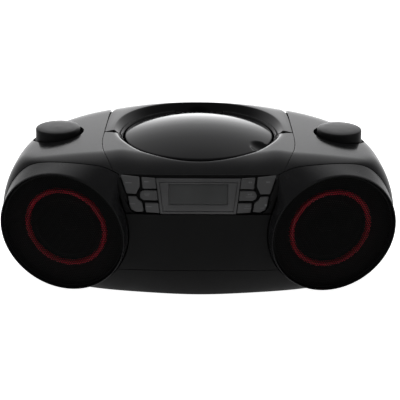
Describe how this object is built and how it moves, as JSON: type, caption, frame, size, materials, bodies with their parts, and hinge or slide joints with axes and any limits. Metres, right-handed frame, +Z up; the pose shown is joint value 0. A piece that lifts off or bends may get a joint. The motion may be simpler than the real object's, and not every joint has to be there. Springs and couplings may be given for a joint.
{
  "type": "portable cd boombox",
  "caption": "Oval portable CD player and radio with round speakers at the front corners, a domed lid, a fold-flat carry handle, rotary knobs and a display between push buttons.",
  "frame": {"origin": "centre of the bounding box at the height of the standing surface, below the centre of the CD lid", "axes": "+X to the right seen from the front, +Y to the rear, +Z up"},
  "size_m": [0.3898, 0.2324, 0.148],
  "materials": {
    "gloss_black_plastic": "high gloss",
    "matte_black_plastic": "fine matte texture",
    "satin_grey_plastic": "satin",
    "grille_metal": "satin black, perforated in the visual",
    "red_trim": "dark red",
    "bright_metal": "bright",
    "plain_steel": "plain",
    "foot_rubber": "matte",
    "board_green": "matte",
    "window_plastic": "clear dark window",
    "cone_paper": "matte"
  },
  "bodies": {
    "cabinet": {"base_cover": "matte_black_plastic", "battery_box": "matte_black_plastic", "battery_contact_left": "bright_metal", "battery_contact_right": "bright_metal", "cd_deck": "matte_black_plastic", "cd_surround": "gloss_black_plastic", "control_board": "board_green", "display_frame": "satin_grey_plastic", "display_module": "matte_black_plastic", "display_window": "window_plastic", "encoder_left": "plain_steel", "encoder_right": "plain_steel", "foot_front_left": "foot_rubber", "foot_front_right": "foot_rubber", "foot_rear_left": "foot_rubber", "foot_rear_right": "foot_rubber", "front_cabinet": "matte_black_plastic", "grille_left": "grille_metal", "grille_right": "grille_metal", "headphone_socket": "matte_black_plastic", "main_board": "board_green", "power_inlet": "matte_black_plastic", "power_transformer": "plain_steel", "rear_cover": "matte_black_plastic", "shoulder_left": "gloss_black_plastic", "shoulder_right": "gloss_black_plastic", "sled_rail": "plain_steel", "speaker_basket_left": "plain_steel", "speaker_basket_right": "plain_steel", "speaker_cone_left": "cone_paper", "speaker_cone_right": "cone_paper", "speaker_hood_left": "satin_grey_plastic", "speaker_hood_right": "satin_grey_plastic", "speaker_magnet_left": "plain_steel", "speaker_magnet_right": "plain_steel", "spindle_motor": "plain_steel", "trim_ring_left": "red_trim", "trim_ring_right": "red_trim"},
    "lid": {"cd_lid": "gloss_black_plastic", "lid_clamp": "matte_black_plastic"},
    "handle": {"carry_handle": "gloss_black_plastic"},
    "function_dial": {"function_knob": "satin_grey_plastic"},
    "volume_dial": {"volume_knob": "satin_grey_plastic"},
    "antenna_swivel": {"antenna_base": "bright_metal"},
    "antenna_lower": {"antenna_mast": "bright_metal"},
    "antenna_centre": {"antenna_middle": "bright_metal"},
    "antenna_end": {"antenna_tip": "bright_metal"},
    "rear_door": {"battery_door": "matte_black_plastic"},
    "disc_drive": {"turntable": "matte_black_plastic"},
    "pickup": {"laser_sled": "matte_black_plastic"},
    "button_left_bottom_inner": {"key_left_bottom_inner": "satin_grey_plastic"},
    "button_left_bottom_outer": {"key_left_bottom_outer": "satin_grey_plastic"},
    "button_left_middle": {"key_left_middle": "satin_grey_plastic"},
    "button_left_top_inner": {"key_left_top_inner": "satin_grey_plastic"},
    "button_left_top_outer": {"key_left_top_outer": "satin_grey_plastic"},
    "button_right_bottom_inner": {"key_right_bottom_inner": "satin_grey_plastic"},
    "button_right_bottom_outer": {"key_right_bottom_outer": "satin_grey_plastic"},
    "button_right_middle": {"key_right_middle": "satin_grey_plastic"},
    "button_right_top_inner": {"key_right_top_inner": "satin_grey_plastic"},
    "button_right_top_outer": {"key_right_top_outer": "satin_grey_plastic"}
  },
  "joints": [
    {"name": "cd_lid_hinge", "type": "hinge", "parent": "cabinet", "child": "lid", "pos_m": [0, 0.0785, 0.132], "axis": [-1, 0, 0], "range_deg": [0, 70]},
    {"name": "carry_handle_pivot", "type": "hinge", "parent": "cabinet", "child": "handle", "pos_m": [0, 0.006, 0.1335], "axis": [1, 0, 0], "range_deg": [0, 90]},
    {"name": "function_knob_turn", "type": "hinge", "parent": "cabinet", "child": "function_dial", "pos_m": [-0.143, -0.002, 0.1385], "axis": [0, 0, 1], "range_deg": [-60, 60]},
    {"name": "volume_knob_turn", "type": "hinge", "parent": "cabinet", "child": "volume_dial", "pos_m": [0.143, -0.002, 0.1385], "axis": [0, 0, 1], "range_deg": [-150, 150]},
    {"name": "antenna_swivel_turn", "type": "hinge", "parent": "cabinet", "child": "antenna_swivel", "pos_m": [0.084, 0.11, 0.1083], "axis": [0, 0, -1], "range_deg": [0, 180]},
    {"name": "antenna_fold", "type": "hinge", "parent": "antenna_swivel", "child": "antenna_lower", "pos_m": [0.084, 0.11, 0.1083], "axis": [0, 1, 0], "range_deg": [0, 90]},
    {"name": "antenna_middle_slide", "type": "slide", "parent": "antenna_lower", "child": "antenna_centre", "axis": [-1, 0, 0], "range_m": [0, 0.14]},
    {"name": "antenna_tip_slide", "type": "slide", "parent": "antenna_centre", "child": "antenna_end", "axis": [-1, 0, 0], "range_m": [0, 0.14]},
    {"name": "battery_door_hinge", "type": "hinge", "parent": "cabinet", "child": "rear_door", "pos_m": [0, 0.116, 0.0362], "axis": [-1, 0, 0], "range_deg": [0, 95]},
    {"name": "turntable_spin", "type": "hinge", "parent": "cabinet", "child": "disc_drive", "pos_m": [0, 0, 0.127], "axis": [0, 0, 1], "continuous": true},
    {"name": "laser_sled_slide", "type": "slide", "parent": "cabinet", "child": "pickup", "axis": [0, 1, 0], "range_m": [-0.018, 0.003]},
    {"name": "key_left_bottom_inner_press", "type": "slide", "parent": "cabinet", "child": "button_left_bottom_inner", "axis": [0, 1, 0], "range_m": [0, 0.0008], "stiffness_N_per_m": 600, "springref_m": -0.0005},
    {"name": "key_left_bottom_outer_press", "type": "slide", "parent": "cabinet", "child": "button_left_bottom_outer", "axis": [0, 1, 0], "range_m": [0, 0.0008], "stiffness_N_per_m": 600, "springref_m": -0.0005},
    {"name": "key_left_middle_press", "type": "slide", "parent": "cabinet", "child": "button_left_middle", "axis": [0, 1, 0], "range_m": [0, 0.0008], "stiffness_N_per_m": 600, "springref_m": -0.0005},
    {"name": "key_left_top_inner_press", "type": "slide", "parent": "cabinet", "child": "button_left_top_inner", "axis": [0, 1, 0], "range_m": [0, 0.0008], "stiffness_N_per_m": 600, "springref_m": -0.0005},
    {"name": "key_left_top_outer_press", "type": "slide", "parent": "cabinet", "child": "button_left_top_outer", "axis": [0, 1, 0], "range_m": [0, 0.0008], "stiffness_N_per_m": 600, "springref_m": -0.0005},
    {"name": "key_right_bottom_inner_press", "type": "slide", "parent": "cabinet", "child": "button_right_bottom_inner", "axis": [0, 1, 0], "range_m": [0, 0.0008], "stiffness_N_per_m": 600, "springref_m": -0.0005},
    {"name": "key_right_bottom_outer_press", "type": "slide", "parent": "cabinet", "child": "button_right_bottom_outer", "axis": [0, 1, 0], "range_m": [0, 0.0008], "stiffness_N_per_m": 600, "springref_m": -0.0005},
    {"name": "key_right_middle_press", "type": "slide", "parent": "cabinet", "child": "button_right_middle", "axis": [0, 1, 0], "range_m": [0, 0.0008], "stiffness_N_per_m": 600, "springref_m": -0.0005},
    {"name": "key_right_top_inner_press", "type": "slide", "parent": "cabinet", "child": "button_right_top_inner", "axis": [0, 1, 0], "range_m": [0, 0.0008], "stiffness_N_per_m": 600, "springref_m": -0.0005},
    {"name": "key_right_top_outer_press", "type": "slide", "parent": "cabinet", "child": "button_right_top_outer", "axis": [0, 1, 0], "range_m": [0, 0.0008], "stiffness_N_per_m": 600, "springref_m": -0.0005}
  ]
}
